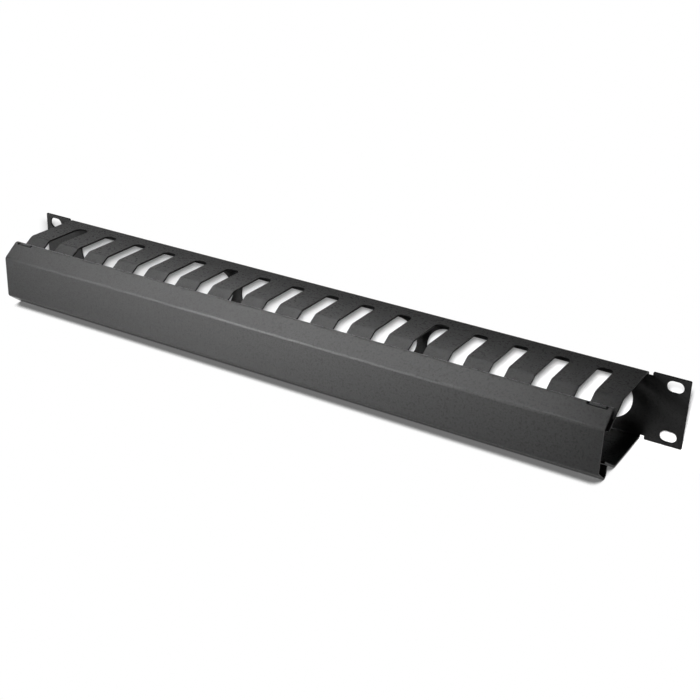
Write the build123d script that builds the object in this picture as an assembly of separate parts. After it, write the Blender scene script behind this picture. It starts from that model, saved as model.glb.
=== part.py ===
from build123d import *
import os
from math import cos, radians, sin, tan

# Horizontal cable manager, one rack unit high: a folded finger duct with a snap-fit cover.
# Millimetres. X runs along the rack, Y runs back into it and Z is up.
# The origin is the middle of the rack bolt pattern, on the rear face of the back plate.

# Rack panel
unit_height = 44.45
unit_gap = 0.75               # play between two panels in neighbouring units
unit_hole_gap = 12.7          # from a unit's top hole to the next unit's bottom hole
panel_length = 482.6
rack_hole_inset = 8.75        # from the panel's end to the rack hole's centre
rack_hole_length = 10.0
rack_hole_width = 7.0
ear_width = 25.05             # from the panel's end to the duct's end
ear_corner_radius = 0.8

# Folded base sheet
base_sheet = 1.2
back_bend_inside = 1.2        # inside radius of the bend between back plate and flange
relief_width = 2.5            # notch between an ear and the flange beside it
flange_depth = 42.5           # from the rear face to the corner where the fingers bend
finger_bend_inside = 4.5      # inside radius of that bend
finger_angle = 32.0           # how far a finger's front leans towards the duct's middle
finger_front_length = 22.0    # from the bend's corner to the finger's tip

# Slots between the fingers
slot_count = 16
slot_width = 9.5
slot_root = 12.4              # from the rear face to the closed end of a slot
slot_end_flat = 2.5           # straight part of that end, between its two round corners

# Openings in the back plate
opening_count = 3
opening_bar = 7.0             # metal left between two openings and at both ends
opening_margin = 7.85         # from the panel's long edge to an opening

# Folded cover sheet
cover_sheet = 1.2
cover_end_gap = 0.25          # how far the cover stops short of the duct's end
finger_overlap = 6.56         # how far the finger tips reach past the back of the cover's lips
cover_side_depth = 14.6       # from the lips' back to the cover's front face
cover_fold_drop = 7.95        # from the panel's long edge to the cover's front fold
cover_side_angle = 37.0       # lean of the cover's sloping sides
cover_fold_inside = 1.8       # inside radius of the front folds
cover_edge_inside = 1.6       # inside radius of the rolled long edges
seat_gap = 0.3                # between a lip and the fingers that carry it

# Spring tabs, lanced from the rolled edges near both ends and pressed inward
tab_inset = 2.6               # from the cover's end to a tab's notch
tab_notch_length = 12.3
tab_gap = 1.5                 # notch left open at both ends of a tab
tab_root = 0.5                # flat strip between the sheared line and the rolled edge
tab_bend_inside = 0.2         # inside radius of a tab's bend, which starts at the edge's crown
tab_angle = 58.0              # how far a tab turns from the crown

# A cutter reaches this far past the sheet that it cuts
cut_margin = 5.0

# Derived sizes
panel_height = unit_height - unit_gap
half_height = panel_height / 2
rack_hole_pitch_x = panel_length - 2 * rack_hole_inset
rack_hole_pitch_z = unit_height - unit_hole_gap
duct_length = panel_length - 2 * ear_width
finger_width = (duct_length - slot_count * slot_width) / (slot_count + 1)
slot_pitch = finger_width + slot_width
slot_end_radius = (slot_width - slot_end_flat) / 2
opening_length = (duct_length - (opening_count + 1) * opening_bar) / opening_count
opening_pitch = opening_length + opening_bar
opening_height = panel_height - 2 * opening_margin
finger_lean = radians(finger_angle)
finger_tip_y = -flange_depth - finger_front_length * cos(finger_lean)
finger_tip_z = half_height - finger_front_length * sin(finger_lean)
cover_length = duct_length - 2 * cover_end_gap
lip_back = finger_tip_y + finger_overlap
cover_front = lip_back - cover_side_depth
fold_height = half_height - cover_fold_drop
side_lean = radians(cover_side_angle)
edge_corner_height = fold_height + cover_side_depth * tan(side_lean)
edge_outside = cover_edge_inside + cover_sheet
edge_tangent = edge_outside * tan((radians(90) + side_lean) / 2)
crown_y = lip_back - edge_outside
crown_height = edge_corner_height - edge_tangent + edge_outside
tab_bend_outside = tab_bend_inside + cover_sheet
tab_width = tab_notch_length - 2 * tab_gap
tab_place = cover_length / 2 - tab_inset - tab_notch_length / 2


# A closed section of (y, z) points across the duct, with one bend radius for each point.
def section_face(points, radii):
    return make_face(FilletPolyline(*[(0, y, z) for y, z in points], radius=radii, close=True))


# Runs a section along the duct, centred on it.
def along_duct(section, length):
    return extrude(section, amount=length / 2, dir=(1, 0, 0), both=True)


# The inner line of a bent sheet: each corner of the outer line moved in by the sheet's thickness.
def inner_line(outline, sheet):
    corners = [Vector(0, y, z) for y, z in outline]
    inward = [(end - start).normalized().cross(Vector(1, 0, 0)) for start, end in zip(corners, corners[1:])]
    inner = [corners[0] + inward[0] * sheet]
    for corner, before, after in zip(corners[1:-1], inward, inward[1:]):
        inner.append(corner + (before + after) * (sheet / (1 + before.dot(after))))
    inner.append(corners[-1] + inward[-1] * sheet)
    return [(point.Y, point.Z) for point in inner]


# The section of a bent sheet, from its outer line, with the inside on the right, and its inside radii.
def bent_sheet(outline, inside_radii, sheet):
    outside_radii = [radius + sheet for radius in inside_radii]
    points = outline + inner_line(outline, sheet)[::-1]
    return section_face(points, [0, *outside_radii, 0, 0, *reversed(inside_radii), 0])


# Adds the mirror image, across the duct's middle plane, of the first half of a line.
def with_mirror(half):
    return half + [(along, -z) for along, z in reversed(half)]


# Where a lip with its back at y stops above the fingers that it seats on.
def lip_stop(y):
    finger_surface = half_height - (-flange_depth - y) * tan(finger_lean)
    return finger_surface + seat_gap / cos(finger_lean)


# Base sheet: the back plate, both flanges and the leaning fingers, before the slots are cut
def make_duct():
    upper_half = [(finger_tip_y, finger_tip_z), (-flange_depth, half_height), (0, half_height)]
    bends = [finger_bend_inside, back_bend_inside, back_bend_inside, finger_bend_inside]
    return along_duct(bent_sheet(with_mirror(upper_half), bends, base_sheet), duct_length)


# Right-hand ear, with the relief notches that let the flanges fold beside it
def make_ear():
    root = duct_length / 2
    side = root + relief_width
    end = panel_length / 2
    notch = half_height - back_bend_inside - base_sheet
    lower_half = [(root, -notch), (side, -notch), (side, -half_height), (end, -half_height)]
    corners = [0, 0, ear_corner_radius, ear_corner_radius]
    outline = FilletPolyline(*[(x, 0, z) for x, z in with_mirror(lower_half)],
                             radius=corners + corners[::-1], close=True)
    return extrude(make_face(outline), amount=base_sheet, dir=(0, -1, 0))


# A round-ended hole through the back plate, centred at (x, z)
def plate_hole(x, z, length, width):
    return extrude(Plane.XZ * Pos(x, z) * SlotOverall(length, width), amount=base_sheet + cut_margin, both=True)


# The gap between two fingers, through both flanges
def make_slot():
    front = finger_tip_y - cut_margin
    left = -slot_width / 2
    right = slot_width / 2
    outline = FilletPolyline((left, front), (left, -slot_root), (right, -slot_root), (right, front),
                             radius=[0, slot_end_radius, slot_end_radius, 0], close=True)
    return extrude(make_face(outline), amount=half_height + cut_margin, both=True)


def make_base():
    ear = make_ear()
    base = make_duct() + ear + mirror(ear, Plane.YZ)
    slot = make_slot()
    slots = [Pos((i - (slot_count - 1) / 2) * slot_pitch, 0, 0) * slot for i in range(slot_count)]
    openings = [
        plate_hole((i - (opening_count - 1) / 2) * opening_pitch, 0, opening_length, opening_height)
        for i in range(opening_count)
    ]
    rack_holes = [
        plate_hole(x, z, rack_hole_length, rack_hole_width)
        for x in (-rack_hole_pitch_x / 2, rack_hole_pitch_x / 2)
        for z in (-rack_hole_pitch_z / 2, rack_hole_pitch_z / 2)
    ]
    return base - slots - openings - rack_holes


# A point on the lower sloping side's outer line, this far along it from the rolled edge's corner
def on_side(distance):
    return (lip_back - distance * cos(side_lean), -edge_corner_height + distance * sin(side_lean))


# Cover sheet: front face, sloping sides, rolled long edges and the lips that seat on the fingers
def make_cover_body():
    lower_half = [(lip_back, -lip_stop(lip_back)), (lip_back, -edge_corner_height), (cover_front, -fold_height)]
    bends = [cover_edge_inside, cover_fold_inside, cover_fold_inside, cover_edge_inside]
    return along_duct(bent_sheet(with_mirror(lower_half), bends, cover_sheet), cover_length)


# A spring tab of the lower rolled edge: a tongue that stays joined along the crown and turns inward in front of it
def make_tab():
    root = Plane.XZ.offset(-crown_y) * Pos(0, cover_sheet / 2 - crown_height) * Rectangle(tab_width, cover_sheet)
    bend_line = Axis((0, crown_y, tab_bend_outside - crown_height), (-1, 0, 0))
    return revolve(root, axis=bend_line, revolution_arc=tab_angle)


# The notch that frees a tab: it takes the lower rolled edge from its crown to a sheared line on the sloping side
def make_tab_notch():
    inward = Vector(0, sin(side_lean), cos(side_lean))
    sheared_line = Vector(0, *on_side(edge_tangent + tab_root))
    outline = Polyline(
        sheared_line - inward * cut_margin,
        (0, crown_y, -crown_height - cut_margin),
        (0, crown_y, -crown_height + 2 * cover_sheet),
        sheared_line + inward * (2 * cover_sheet),
        close=True,
    )
    return along_duct(make_face(outline), tab_notch_length)


def make_cover():
    lower_tab = make_tab()
    lower_notch = make_tab_notch()
    tabs = [lower_tab, mirror(lower_tab, Plane.XY)]
    notches = [lower_notch, mirror(lower_notch, Plane.XY)]
    places = [Pos(-tab_place, 0, 0), Pos(tab_place, 0, 0)]
    cover = make_cover_body() - [place * notch for place in places for notch in notches]
    return cover + [place * tab for place in places for tab in tabs]


os.makedirs("parts", exist_ok=True)
export_step(make_base(), "parts/base_channel.step")
export_step(make_cover(), "parts/snap_cover.step")
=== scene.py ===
import bmesh
import bpy
from math import cos, hypot, pi, radians, sin, tan
from mathutils import Matrix, Vector


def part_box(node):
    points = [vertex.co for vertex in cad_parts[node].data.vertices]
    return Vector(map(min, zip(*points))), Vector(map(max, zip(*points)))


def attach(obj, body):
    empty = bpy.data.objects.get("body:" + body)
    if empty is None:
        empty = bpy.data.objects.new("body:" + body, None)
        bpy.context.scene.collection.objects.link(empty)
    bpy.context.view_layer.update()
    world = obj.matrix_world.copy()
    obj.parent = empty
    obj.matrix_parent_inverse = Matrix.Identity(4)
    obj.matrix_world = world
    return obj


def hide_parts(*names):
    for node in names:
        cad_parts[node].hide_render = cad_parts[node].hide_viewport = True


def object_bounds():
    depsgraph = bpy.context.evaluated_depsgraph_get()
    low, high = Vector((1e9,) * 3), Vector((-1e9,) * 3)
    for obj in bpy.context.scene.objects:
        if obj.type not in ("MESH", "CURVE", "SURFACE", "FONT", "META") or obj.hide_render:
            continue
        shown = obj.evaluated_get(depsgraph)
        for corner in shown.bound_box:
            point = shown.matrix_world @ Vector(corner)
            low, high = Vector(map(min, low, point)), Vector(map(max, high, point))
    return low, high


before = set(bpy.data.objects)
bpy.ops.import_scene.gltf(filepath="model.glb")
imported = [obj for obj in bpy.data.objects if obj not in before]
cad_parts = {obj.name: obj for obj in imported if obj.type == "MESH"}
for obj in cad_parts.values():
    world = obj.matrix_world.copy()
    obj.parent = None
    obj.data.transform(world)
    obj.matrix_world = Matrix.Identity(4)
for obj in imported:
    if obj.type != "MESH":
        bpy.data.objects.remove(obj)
cadLow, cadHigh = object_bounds()
mm = 0.001
tiny = 1e-6                 # metres, for telling points apart
onLine = 0.01               # mm, for finding what lies on a line
weld = 0.005                # mm, points closer than this become one
flatLimit = radians(0.5)    # faces that meet at a smaller angle are one flat
xAxis = Vector((1, 0, 0))
yAxis = Vector((0, 1, 0))
zAxis = Vector((0, 0, 1))
print("frame loaded:", sorted(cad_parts))


# sRGB hex to the linear colour that a shader takes
def hexColour(text):
    channels = [int(text[i:i + 2], 16) / 255 for i in (1, 3, 5)]
    linear = [c / 12.92 if c <= 0.04045 else ((c + 0.055) / 1.055) ** 2.4 for c in channels]
    return (*linear, 1.0)


# adds a node: settings are its own options, inputs are numbers or the sockets that feed it
def addNode(tree, kind, inputs=None, **settings):
    node = tree.nodes.new(kind)
    for name, value in settings.items():
        setattr(node, name, value)
    for name, value in (inputs or {}).items():
        if isinstance(value, bpy.types.NodeSocket):
            tree.links.new(value, node.inputs[name])
        else:
            node.inputs[name].default_value = value
    return node


def newMaterial(name):
    material = bpy.data.materials.new(name)
    material.use_nodes = True
    material.node_tree.nodes.clear()
    return material, material.node_tree


# Fine-textured black polyester powder coat, sprayed and baked on steel. Its skin is a matt, slightly
# pebbled dark grey: the pebbles break up the soft gloss, their hollows are painted darker as shade, and the
# bends catch a pale line.
powderCoat = {
    "crestColour": "#474747",
    # painted shade: the pebbles' hollows are drawn darker than their crests
    "shadedHollowColour": "#353535",
    "pebble": 1.5,                  # mm across; the real ones are about 0.4, drawn larger so that they show
    "pebbleDepth": 0.06,            # mm
    "pebbleRange": (0.32, 0.68),    # of the noise, from the hollows to the crests
    "pebbleDetail": 2.0,            # finer layers of noise on the pebbles
    "pebbleFade": 0.55,             # strength of each layer, as a share of the coarser one
    "roughness": (0.25, 0.34),      # crests, hollows
    "ior": 1.5,
    "gloss": 0.15,
}


def makePowderCoat(s):
    material, tree = newMaterial("textured_powder_coat")
    hollow, top = s["pebbleRange"]
    crestRoughness, hollowRoughness = s["roughness"]
    place = addNode(tree, "ShaderNodeTexCoord").outputs["Object"]
    pebbles = addNode(tree, "ShaderNodeTexNoise", {
        "Vector": place, "Scale": 1 / (s["pebble"] * mm),
        "Detail": s["pebbleDetail"], "Roughness": s["pebbleFade"]})
    crest = addNode(tree, "ShaderNodeMapRange", {
        "Value": pebbles.outputs["Fac"], "From Min": hollow, "From Max": top})
    # colour runs from the crests to the darker hollows: painted shade in the pebbles
    tone = addNode(tree, "ShaderNodeMix", {
        "Factor": crest.outputs["Result"], "A": hexColour(s["shadedHollowColour"]),
        "B": hexColour(s["crestColour"])}, data_type="RGBA")
    gloss = addNode(tree, "ShaderNodeMapRange", {
        "Value": crest.outputs["Result"], "To Min": hollowRoughness, "To Max": crestRoughness})
    bump = addNode(tree, "ShaderNodeBump", {
        "Height": pebbles.outputs["Fac"], "Strength": 1.0, "Distance": s["pebbleDepth"] * mm})
    coat = addNode(tree, "ShaderNodeBsdfPrincipled", {
        "Base Color": tone.outputs["Result"], "Roughness": gloss.outputs["Result"],
        "IOR": s["ior"], "Specular IOR Level": s["gloss"], "Normal": bump.outputs["Normal"]})
    addNode(tree, "ShaderNodeOutputMaterial", {"Surface": coat.outputs["BSDF"]})
    return material


# The same coat on the sheared edges and their rounds. Powder draws back from sharp edges as it melts, so
# there it is thin and smooth. The near-black colour is painted shade, darkening every cut edge whether lit
# or not.
edgeCoatWithPaintedShade = {
    # painted shade: near black, darker than the coat on the faces
    "colour": "#131313",
    "grain": 0.6,           # mm
    "grainDepth": 0.02,     # mm
    "grainDetail": 2.0,     # finer layers of noise on the grain
    "grainFade": 0.5,       # strength of each layer, as a share of the coarser one
    "roughness": 0.45,
    "ior": 1.5,
    "gloss": 0.06,
}


def makeEdgeCoatWithPaintedShade(s):
    material, tree = newMaterial("powder_coat_with_painted_shade_on_sheared_edge")
    place = addNode(tree, "ShaderNodeTexCoord").outputs["Object"]
    grain = addNode(tree, "ShaderNodeTexNoise", {
        "Vector": place, "Scale": 1 / (s["grain"] * mm),
        "Detail": s["grainDetail"], "Roughness": s["grainFade"]})
    bump = addNode(tree, "ShaderNodeBump", {
        "Height": grain.outputs["Fac"], "Strength": 1.0, "Distance": s["grainDepth"] * mm})
    coat = addNode(tree, "ShaderNodeBsdfPrincipled", {
        "Base Color": hexColour(s["colour"]), "Roughness": s["roughness"],
        "IOR": s["ior"], "Specular IOR Level": s["gloss"], "Normal": bump.outputs["Normal"]})
    addNode(tree, "ShaderNodeOutputMaterial", {"Surface": coat.outputs["BSDF"]})
    return material


def vertsOf(geom):
    return [item for item in geom if isinstance(item, bmesh.types.BMVert)]


# a sheet's section as it is folded: straight runs and bends, starting at a point and heading (y, z)
def foldSection(bm, start, heading, steps):
    vert = bm.verts.new(Vector((0, *start)) * mm)
    direction = Vector((0, *heading)).normalized()
    for step in steps:
        if "run" in step:
            new = bmesh.ops.extrude_vert_indiv(bm, verts=[vert])["verts"]
            bmesh.ops.translate(bm, verts=new, vec=direction * step["run"] * mm)
            vert = new[0]
        else:
            axis = xAxis if step["turn"] > 0 else -xAxis
            turn = radians(abs(step["turn"]))
            centre = vert.co + axis.cross(direction) * step["radius"] * mm
            spun = bmesh.ops.spin(bm, geom=[vert], cent=centre, axis=axis, angle=turn, steps=step["facets"])
            vert = vertsOf(spun["geom_last"])[0]
            direction = Matrix.Rotation(turn, 3, axis) @ direction


# runs the folded section along X, centred
def rollOut(bm, length):
    bmesh.ops.translate(bm, verts=bm.verts, vec=(-length / 2 * mm, 0, 0))
    sides = bmesh.ops.extrude_edge_only(bm, edges=list(bm.edges))["geom"]
    bmesh.ops.translate(bm, verts=vertsOf(sides), vec=(length * mm, 0, 0))


# the places of an even row, centred on zero
def centredRow(count, pitch):
    return [(i - (count - 1) / 2) * pitch for i in range(count)]


# the middle of a face or an edge, in mm
def middle(item):
    return sum((v.co for v in item.verts), Vector()) / len(item.verts) / mm


# cuts the faces that pass a test, along planes across an axis
def cutAcross(bm, axis, places, test):
    for place in places:
        faces = [f for f in bm.faces if test(middle(f))]
        geom = set(faces)
        geom.update(e for f in faces for e in f.edges)
        geom.update(v for f in faces for v in f.verts)
        bmesh.ops.bisect_plane(bm, geom=list(geom), dist=tiny, plane_co=axis * place * mm, plane_no=axis)


def removeFaces(bm, test):
    bmesh.ops.delete(bm, geom=[f for f in bm.faces if test(middle(f))], context="FACES")


# joins flat neighbours that pass a test, apart from edges that lie on a line to keep
def joinFlat(bm, test, keep=lambda place: False):
    edges = [e for e in bm.edges if len(e.link_faces) == 2 and e.calc_face_angle() < flatLimit]
    edges = [e for e in edges if all(test(middle(f)) for f in e.link_faces) and not keep(middle(e))]
    bmesh.ops.dissolve_edges(bm, edges=edges, use_verts=False)
    bmesh.ops.dissolve_limit(bm, angle_limit=flatLimit, verts=list(bm.verts), edges=[])


# rounds the corners of an outline or a hole
def roundCorners(bm, radius, facets, test):
    corners = [v for v in bm.verts if test(v.co / mm)]
    bmesh.ops.bevel(bm, geom=corners, offset=radius * mm, offset_type="OFFSET", segments=facets,
                    profile=0.5, affect="VERTICES", material=-1)
    bmesh.ops.remove_doubles(bm, verts=list(bm.verts), dist=weld * mm)


def newPiece(bm, name, materials):
    mesh = bpy.data.meshes.new(name)
    bm.to_mesh(mesh)
    bm.free()
    piece = bpy.data.objects.new(name, mesh)
    bpy.context.scene.collection.objects.link(piece)
    for material in materials:
        piece.data.materials.append(material)
    return piece


# Cut edges: the small round that paint leaves on them, in the second of a piece's two coats, painted near
# black as shade
paintedEdge = {
    "round": 0.22,       # mm
    "facets": 2,
    "sharpest": 50,      # degrees; the facets of bends and round corners meet at less
    "coat": 1,           # index of the second coat
    "flatWeight": 80,    # over 50, the shading follows the larger faces
}


# gives a folded surface its sheet thickness, inwards, and its painted edges
def finishSheet(bm, name, sheet, coats, outside):
    bmesh.ops.recalc_face_normals(bm, faces=list(bm.faces))
    probe = max(bm.faces, key=lambda f: middle(f).dot(outside))
    if probe.normal.dot(outside) < 0:
        bmesh.ops.reverse_faces(bm, faces=list(bm.faces))
    for face in bm.faces:
        face.smooth = True
    piece = newPiece(bm, name, coats)
    wall = piece.modifiers.new("sheet", "SOLIDIFY")
    wall.thickness = sheet * mm
    wall.offset = -1
    wall.use_even_offset = True
    wall.use_quality_normals = True
    wall.material_offset_rim = paintedEdge["coat"]
    edge = piece.modifiers.new("painted edge", "BEVEL")
    edge.width = paintedEdge["round"] * mm
    edge.segments = paintedEdge["facets"]
    edge.material = paintedEdge["coat"]
    edge.limit_method = "ANGLE"
    edge.angle_limit = radians(paintedEdge["sharpest"])
    shade = piece.modifiers.new("flat shading", "WEIGHTED_NORMAL")
    shade.weight = paintedEdge["flatWeight"]
    return piece


# Base: one blank of sheet steel with its fingers, openings and ears, folded into a channel. Sizes in mm.
baseSheet = {
    "sheet": 1.2,
    "backBend": 1.2,          # inside radius
    "backFacets": 8,
    "fingerBend": 4.5,        # inside radius
    "fingerFacets": 6,
    "fingerLean": 32.0,       # degrees
    "flangeDepth": 42.5,
    "slots": 16,
    "slotWidth": 9.5,
    "slotRoot": 12.4,         # from the rear face to a slot's closed end
    "slotCorner": 3.5,
    "slotFacets": 6,
    "openings": 3,
    "openingBar": 7.0,        # left between two openings and at both ends
    "openingHeight": 28.0,
    "openingFacets": 12,
    "earWidth": 25.05,
    "earCorner": 0.8,
    "earFacets": 4,
    "relief": 2.5,            # notch between an ear and the flange
    "rackHole": (10.0, 7.0),
    "rackHoleFacets": 8,
    "rackHolePitch": (465.1, 31.75),
}


def makeBase(s, coats):
    low, high = (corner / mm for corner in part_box("base_channel"))
    halfHeight = high.z
    halfPanel = high.x
    halfDuct = halfPanel - s["earWidth"]
    lean = radians(s["fingerLean"])
    fingerRadius = s["fingerBend"] + s["sheet"]
    backRadius = s["backBend"] + s["sheet"]
    fingerSetback = fingerRadius * tan(lean / 2)
    tipZ = halfHeight - (-s["flangeDepth"] - low.y) * tan(lean)
    front = hypot(-s["flangeDepth"] - low.y, halfHeight - tipZ)

    # the section, from the upper finger tip round to the lower one
    fingerRun = {"run": front - fingerSetback}
    fingerTurn = {"turn": -s["fingerLean"], "radius": fingerRadius, "facets": s["fingerFacets"]}
    flangeRun = {"run": s["flangeDepth"] - fingerSetback - backRadius}
    backTurn = {"turn": -90, "radius": backRadius, "facets": s["backFacets"]}
    backRun = {"run": 2 * (halfHeight - backRadius)}
    half = [fingerRun, fingerTurn, flangeRun, backTurn]
    bm = bmesh.new()
    foldSection(bm, (low.y, tipZ), (cos(lean), sin(lean)), half + [backRun] + half[::-1])
    rollOut(bm, 2 * halfDuct)

    # the slots between the fingers
    root = -s["slotRoot"]
    halfSlot = s["slotWidth"] / 2
    fingerWidth = (2 * halfDuct - s["slots"] * s["slotWidth"]) / (s["slots"] + 1)
    slotCentres = centredRow(s["slots"], fingerWidth + s["slotWidth"])
    slotSides = [x + side * halfSlot for x in slotCentres for side in (-1, 1)]
    cutAcross(bm, yAxis, [root], lambda p: p.y < -backRadius)
    cutAcross(bm, xAxis, slotSides, lambda p: p.y < root)
    removeFaces(bm, lambda p: p.y < root and min(abs(p.x - x) for x in slotCentres) < halfSlot)
    joinFlat(bm, lambda p: p.y < -backRadius)
    roundCorners(bm, s["slotCorner"], s["slotFacets"], lambda p: abs(p.y - root) < onLine)

    # the openings in the back plate, each half of them a notch in its half of the plate
    halfOpening = s["openingHeight"] / 2
    openingLength = (2 * halfDuct - (s["openings"] + 1) * s["openingBar"]) / s["openings"]
    openingCentres = centredRow(s["openings"], openingLength + s["openingBar"])
    openingEnds = [x + side * openingLength / 2 for x in openingCentres for side in (-1, 1)]

    def onPlate(p):
        return p.y > -onLine

    def inOpeningRow(p):
        return onPlate(p) and abs(p.z) < halfOpening

    def inOpening(p):
        return inOpeningRow(p) and min(abs(p.x - x) for x in openingCentres) < openingLength / 2

    cutAcross(bm, zAxis, [-halfOpening, 0, halfOpening], onPlate)
    cutAcross(bm, xAxis, openingEnds, inOpeningRow)
    removeFaces(bm, inOpening)
    joinFlat(bm, onPlate, lambda p: abs(p.z) < onLine)
    roundCorners(bm, halfOpening, s["openingFacets"],
                 lambda p: onPlate(p) and abs(abs(p.z) - halfOpening) < onLine)

    # the ears: a neck beside the relief notches, then the full height
    for side in (-1, 1):
        end = [e for e in bm.edges if e.is_boundary and onPlate(middle(e))
               and abs(middle(e).x - side * halfDuct) < onLine]
        for step in (s["relief"], s["earWidth"] - s["relief"]):
            grown = bmesh.ops.extrude_edge_only(bm, edges=end)["geom"]
            verts = vertsOf(grown)
            bmesh.ops.translate(bm, verts=verts, vec=(side * step * mm, 0, 0))
            end = [e for e in grown if isinstance(e, bmesh.types.BMEdge)
                   and all(v in verts for v in e.verts)]
        rim = [e for e in bm.edges if e.is_boundary and onPlate(middle(e))
               and side * middle(e).x > halfDuct + s["relief"]
               and abs(e.verts[0].co.z - e.verts[1].co.z) < tiny]
        for edge in rim:
            up = 1 if middle(edge).z > 0 else -1
            grown = bmesh.ops.extrude_edge_only(bm, edges=[edge])["geom"]
            bmesh.ops.translate(bm, verts=vertsOf(grown), vec=(0, 0, up * backRadius * mm))

    # the rack holes, split along their middle lines in the same way as the openings
    holeX, holeZ = (spacing / 2 for spacing in s["rackHolePitch"])
    halfLong, halfWide = (size / 2 for size in s["rackHole"])
    holeLines = [side * (holeZ + step) for side in (-1, 1) for step in (-halfWide, 0, halfWide)]
    holeEnds = [side * (holeX + step) for side in (-1, 1) for step in (-halfLong, halfLong)]

    def onEar(p):
        return onPlate(p) and abs(p.x) > halfDuct

    def inHoleRow(p):
        return onEar(p) and abs(abs(p.z) - holeZ) < halfWide

    cutAcross(bm, zAxis, holeLines, onEar)
    cutAcross(bm, xAxis, holeEnds, inHoleRow)
    removeFaces(bm, lambda p: inHoleRow(p) and abs(abs(p.x) - holeX) < halfLong)
    joinFlat(bm, onEar, lambda p: abs(abs(p.z) - holeZ) < onLine)
    roundCorners(bm, halfWide, s["rackHoleFacets"],
                 lambda p: onEar(p) and abs(abs(abs(p.z) - holeZ) - halfWide) < onLine)
    roundCorners(bm, s["earCorner"], s["earFacets"],
                 lambda p: onEar(p) and abs(abs(p.z) - halfHeight) < onLine)

    piece = finishSheet(bm, "folded_finger_channel", s["sheet"], coats, yAxis)
    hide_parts("base_channel")
    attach(piece, "base")
    return piece


# Cover: one folded sheet whose lips seat on the fingers, with a spring tab lanced near each end of both
# rolled edges. Sizes in mm.
coverSheet = {
    "sheet": 1.2,
    "lipBack": -54.597,       # where the lips' backs stand, along Y
    "foldDrop": 7.95,         # from the panel's long edge to the front fold
    "sideLean": 37.0,         # degrees
    "frontFold": 1.8,         # inside radius
    "foldFacets": 8,
    "edgeRoll": 1.6,          # inside radius
    "crownFacets": 10,        # from a lip to the roll's crown
    "tuckFacets": 4,          # from the crown to the sloping side
    "seatGap": 0.3,           # between a lip and the fingers
    "tabInset": 2.6,          # from the cover's end to a tab's notch
    "tabNotch": 12.3,
    "tabGap": 1.5,            # at both ends of a tab
    "tabRoot": 0.5,           # flat strip between the sheared line and the rolled edge
    "tabBend": 0.2,           # inside radius
    "tabFacets": 5,
    "tabAngle": 58.0,         # degrees that a tab turns in from the crown
}


def makeCover(s, base, coats):
    low, high = (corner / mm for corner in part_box("snap_cover"))
    halfLength = high.x
    lean = radians(s["sideLean"])
    rollRadius = s["edgeRoll"] + s["sheet"]
    foldRadius = s["frontFold"] + s["sheet"]
    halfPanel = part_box("base_channel")[1].z / mm
    foldZ = halfPanel - s["foldDrop"]
    depth = s["lipBack"] - low.y
    cornerZ = foldZ + depth * tan(lean)
    fingerLean = radians(base["fingerLean"])
    fingerZ = halfPanel - (-base["flangeDepth"] - s["lipBack"]) * tan(fingerLean)
    seat = fingerZ + s["seatGap"] / cos(fingerLean)
    rollSetback = rollRadius * tan((pi / 2 + lean) / 2)
    foldSetback = foldRadius * tan((pi / 2 - lean) / 2)

    # the section, from the upper lip's end round to the lower one
    lipRun = {"run": cornerZ - seat - rollSetback}
    crownTurn = {"turn": 90, "radius": rollRadius, "facets": s["crownFacets"]}
    tuckTurn = {"turn": s["sideLean"], "radius": rollRadius, "facets": s["tuckFacets"]}
    sideRun = {"run": depth / cos(lean) - rollSetback - foldSetback}
    foldTurn = {"turn": 90 - s["sideLean"], "radius": foldRadius, "facets": s["foldFacets"]}
    frontRun = {"run": 2 * (foldZ - foldSetback)}
    half = [lipRun, crownTurn, tuckTurn, sideRun, foldTurn]
    bm = bmesh.new()
    foldSection(bm, (s["lipBack"], seat), (0, 1), half + [frontRun] + half[::-1])
    rollOut(bm, 2 * halfLength)

    # the notches of the spring tabs, from the roll's crown to a sheared line on the sloping side
    crownY = s["lipBack"] - rollRadius
    crownZ = cornerZ - rollSetback + rollRadius
    shearY = s["lipBack"] - (rollSetback + s["tabRoot"]) * cos(lean)
    notchEnd = halfLength - s["tabInset"]
    notchStart = notchEnd - s["tabNotch"]
    tabStart = notchStart + s["tabGap"]
    tabEnd = notchEnd - s["tabGap"]
    tabLines = [side * x for side in (-1, 1) for x in (notchStart, tabStart, tabEnd, notchEnd)]

    def inNotchRow(p):
        return shearY < p.y < crownY

    cutAcross(bm, yAxis, [shearY], lambda p: True)
    cutAcross(bm, xAxis, tabLines, inNotchRow)
    removeFaces(bm, lambda p: inNotchRow(p) and notchStart < abs(p.x) < notchEnd)

    # the tabs, turned in from the crown
    roots = [e for e in bm.edges if e.is_boundary and abs(middle(e).y - crownY) < onLine
             and tabStart < abs(middle(e).x) < tabEnd]
    for root in roots:
        up = 1 if middle(root).z > 0 else -1
        centre = Vector((0, crownY, up * (crownZ - s["tabBend"] - s["sheet"]))) * mm
        bmesh.ops.spin(bm, geom=[root, *root.verts], cent=centre, axis=(up, 0, 0),
                       angle=radians(s["tabAngle"]), steps=s["tabFacets"])

    piece = finishSheet(bm, "folded_cover", s["sheet"], coats, -yAxis)
    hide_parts("snap_cover")
    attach(piece, "cover")
    return piece


coats = [makePowderCoat(powderCoat), makeEdgeCoatWithPaintedShade(edgeCoatWithPaintedShade)]
print("powder coat ready")
channel = makeBase(baseSheet, coats)
print("base folded")
cover = makeCover(coverSheet, baseSheet, coats)
print("cover folded")


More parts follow.
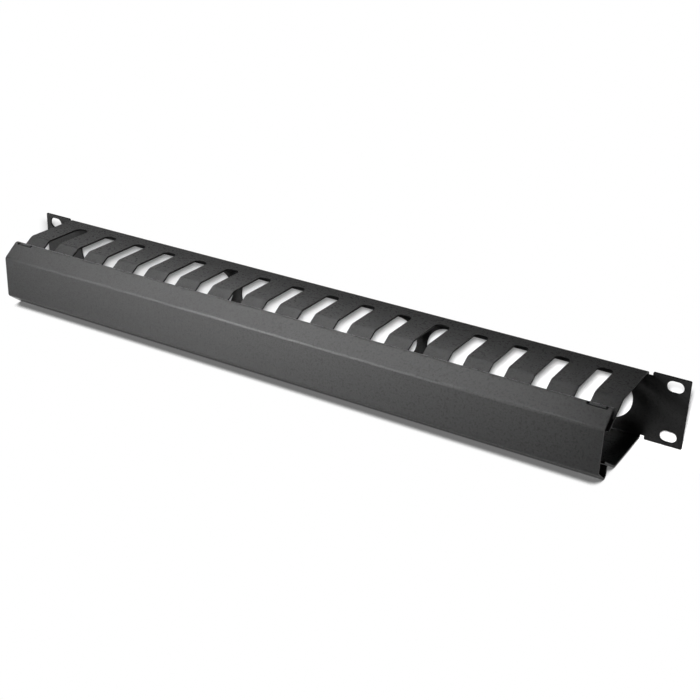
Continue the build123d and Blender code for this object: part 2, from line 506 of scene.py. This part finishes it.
# Stage: a sweep of matt white paper, turned up all round. It shows white, carries a painted contact shadow
# drawn from ambient occlusion where the object stands close, and keeps the object's shadow behind it.
sweep = {
    "radius": 3.0,            # metres
    "rim": 0.85,              # metres
    "bend": 0.4,              # metres
    "sides": 64,
    "bendFacets": 8,
    "drop": 0.1,              # mm below the object's lowest point
    "colour": "#3a3a3a",      # of the light that it throws back on the object
    "shownColour": "#ffffff",
    # contact: a painted shadow that dims the shown white near the object, by ambient occlusion
    "contactReach": 8.0,      # mm
    "contactRange": (0.34, 0.6),     # share of open sky, from the darkest paper to white
    "contactTone": 0.16,      # the darkest paper, as a share of white
    "contactSamples": 16,
    "shadeFront": (-20.0, 0.0),      # mm: white up to the first place, shaded from the second
    "shadeBack": (84.0, 70.0),       # mm
    "shadeLeft": (-254.0, -240.0),   # mm, at the object's rear face
    "shadeRight": (262.0, 246.0),    # mm
    "shadeSlant": 0.96,       # the shade's left side runs this far to the left for each step back
    "shadeColour": "#f4f4f4",
}


def makePaper(s):
    material, tree = newMaterial("white_paper")
    rays = addNode(tree, "ShaderNodeLightPath").outputs
    mirrored = addNode(tree, "ShaderNodeMath", {
        0: rays["Is Camera Ray"], 1: rays["Is Glossy Ray"]}, operation="MAXIMUM")
    seen = addNode(tree, "ShaderNodeMath", {
        0: mirrored.outputs[0], 1: rays["Is Transmission Ray"]}, operation="MAXIMUM")
    # painted contact shadow: the paper's emitted white is dimmed by ambient occlusion near the object
    covered, clear = s["contactRange"]
    sky = addNode(tree, "ShaderNodeAmbientOcclusion", {
        "Distance": s["contactReach"] * mm}, samples=s["contactSamples"])
    paintedContactShadow = addNode(tree, "ShaderNodeMapRange", {
        "Value": sky.outputs["AO"], "From Min": covered, "From Max": clear, "To Min": s["contactTone"]})
    shown = addNode(tree, "ShaderNodeEmission", {
        "Color": hexColour(s["shownColour"]), "Strength": paintedContactShadow.outputs["Result"]})

    # behind the object the paper shows the shade that really falls on it, which the slots look through to
    coordinates = addNode(tree, "ShaderNodeTexCoord").outputs["Object"]
    place = addNode(tree, "ShaderNodeSeparateXYZ", {"Vector": coordinates}).outputs
    slant = addNode(tree, "ShaderNodeMath", {
        0: place["Y"], 1: s["shadeSlant"], 2: place["X"]}, operation="MULTIPLY_ADD").outputs[0]
    limits = (
        (place["Y"], s["shadeFront"]),
        (place["Y"], s["shadeBack"]),
        (slant, s["shadeLeft"]),
        (place["X"], s["shadeRight"]),
    )
    shade = None
    for along, (white, full) in limits:
        part = addNode(tree, "ShaderNodeMapRange", {
            "Value": along, "From Min": white * mm, "From Max": full * mm},
            interpolation_type="SMOOTHSTEP").outputs["Result"]
        if shade:
            part = addNode(tree, "ShaderNodeMath", {0: shade, 1: part}, operation="MULTIPLY").outputs[0]
        shade = part
    shaded = addNode(tree, "ShaderNodeBsdfDiffuse", {"Color": hexColour(s["shadeColour"])})
    front = addNode(tree, "ShaderNodeMixShader", {
        "Fac": shade, 1: shown.outputs["Emission"], 2: shaded.outputs["BSDF"]})
    paper = addNode(tree, "ShaderNodeBsdfDiffuse", {"Color": hexColour(s["colour"])})
    both = addNode(tree, "ShaderNodeMixShader", {
        "Fac": seen.outputs[0], 1: paper.outputs["BSDF"], 2: front.outputs["Shader"]})
    addNode(tree, "ShaderNodeOutputMaterial", {"Surface": both.outputs["Shader"]})
    return material


def makeSweep(s):
    bm = bmesh.new()
    bmesh.ops.create_circle(bm, cap_ends=True, radius=s["radius"], segments=s["sides"])
    wall = bmesh.ops.extrude_edge_only(bm, edges=list(bm.edges))["geom"]
    bmesh.ops.translate(bm, verts=vertsOf(wall), vec=(0, 0, s["rim"]))
    bend = [e for e in bm.edges if len(e.link_faces) == 2 and max(abs(v.co.z) for v in e.verts) < tiny]
    bmesh.ops.bevel(bm, geom=bend, offset=s["bend"], offset_type="OFFSET", segments=s["bendFacets"],
                    profile=0.5, affect="EDGES", material=-1)
    bmesh.ops.translate(bm, verts=list(bm.verts), vec=(0, 0, cadLow.z - s["drop"] * mm))
    bmesh.ops.recalc_face_normals(bm, faces=list(bm.faces))
    floor = newPiece(bm, "paper_sweep", [makePaper(s)])
    return floor


paperSweep = makeSweep(sweep)
print("sweep ready")

# Light on the object: a strip with a grid, above the cover and in front of it, a low box in front, one at
# the front left, one behind at the right, and a dim room. Places and sizes in metres, spread in degrees.
softBoxes = {
    "strip": {"place": (-0.015, -0.165, 0.185), "aim": (-0.015, -0.059, 0.019), "size": (0.48, 0.04),
              "power": 0.14, "spread": 28},
    "low": {"place": (-0.04, -0.22, 0.045), "aim": (-0.04, -0.07, 0.0), "size": (0.26, 0.04),
            "power": 0.29, "spread": 180},
    "left": {"place": (-0.45, -0.65, 0.37), "aim": (-0.03, -0.05, 0.0), "size": (0.16, 0.16),
             "power": 2.7, "spread": 180},
    "back": {"place": (0.55, 0.85, 0.12), "aim": (0.0, 0.0, 0.0), "size": (0.6, 0.3),
             "power": 5.0, "spread": 180},
}
room = {"colour": "#ffffff", "strength": 0.02}


def addSoftBox(name, s, lit):
    lamp = bpy.data.lights.new(name, "AREA")
    lamp.shape = "ELLIPSE"
    lamp.size, lamp.size_y = s["size"]
    lamp.energy = s["power"]
    lamp.spread = radians(s["spread"])
    box = bpy.data.objects.new(name, lamp)
    box.location = s["place"]
    box.rotation_euler = (Vector(s["place"]) - Vector(s["aim"])).to_track_quat("Z", "Y").to_euler()
    box.visible_camera = False
    box.light_linking.receiver_collection = lit
    bpy.context.scene.collection.objects.link(box)


def litGroup(name, pieces):
    group = bpy.data.collections.new(name)
    for piece in pieces:
        group.objects.link(piece)
    return group


def makeRoom(s):
    world = bpy.data.worlds.new("room")
    bpy.context.scene.world = world
    world.use_nodes = True
    tree = world.node_tree
    tree.nodes.clear()
    air = addNode(tree, "ShaderNodeBackground", {
        "Color": hexColour(s["colour"]), "Strength": s["strength"]})
    addNode(tree, "ShaderNodeOutputWorld", {"Surface": air.outputs["Background"]})


objectGroup = litGroup("lit by the soft boxes", [channel, cover])
paperGroup = litGroup("lit from the lens", [paperSweep])
for name, settings in softBoxes.items():
    addSoftBox(name, settings, objectGroup)
makeRoom(room)
print("object lit")

# Camera: turned to the right of the front and raised, as the photograph was taken
cameraView = {
    "turn": 30.148,           # degrees to the right of straight on
    "rise": 25.132,           # degrees
    "roll": 2.108,            # degrees
    "distance": 804.65,       # mm
    "target": (33.045, -25.0, -5.455),    # mm
    "lens": 65.903,           # mm
    "sensor": 36.0,           # mm
    "nearest": 10.0,          # mm
}


def makeCamera(s):
    data = bpy.data.cameras.new("camera")
    data.sensor_width = s["sensor"]
    data.lens = s["lens"]
    data.clip_start = s["nearest"] * mm
    camera = bpy.data.objects.new("camera", data)
    bpy.context.scene.collection.objects.link(camera)
    turn, rise, roll = (radians(s[name]) for name in ("turn", "rise", "roll"))
    back = Vector((sin(turn) * cos(rise), -cos(turn) * cos(rise), sin(rise)))
    facing = Matrix.Rotation(turn, 4, "Z") @ Matrix.Rotation(pi / 2 - rise, 4, "X")
    place = (Vector(s["target"]) + back * s["distance"]) * mm
    camera.matrix_world = Matrix.Translation(place) @ (facing @ Matrix.Rotation(roll, 4, "Z"))
    bpy.context.scene.camera = camera
    return camera


camera = makeCamera(cameraView)
bpy.context.scene.view_settings.view_transform = "Standard"
print("camera ready")

# Light on the paper: a small box beside the lens throws the shadow, and a broad one overhead softens it
lensBox = {
    "offset": (-9.0, 22.0, 0.0),    # mm: right of the lens, up, back
    "size": (0.04, 0.04),
    "power": 16.0,
    "spread": 180,
}
overheadBox = {
    "place": (0.0, 0.3, 1.4),
    "aim": (0.0, 0.05, 0.0),
    "size": (1.6, 1.6),
    "power": 6.0,
    "spread": 180,
}
lensBox["place"] = tuple(camera.matrix_world @ (Vector(lensBox["offset"]) * mm))
lensBox["aim"] = tuple(Vector(cameraView["target"]) * mm)
addSoftBox("lens box", lensBox, paperGroup)
addSoftBox("overhead box", overheadBox, paperGroup)
print("paper lit")
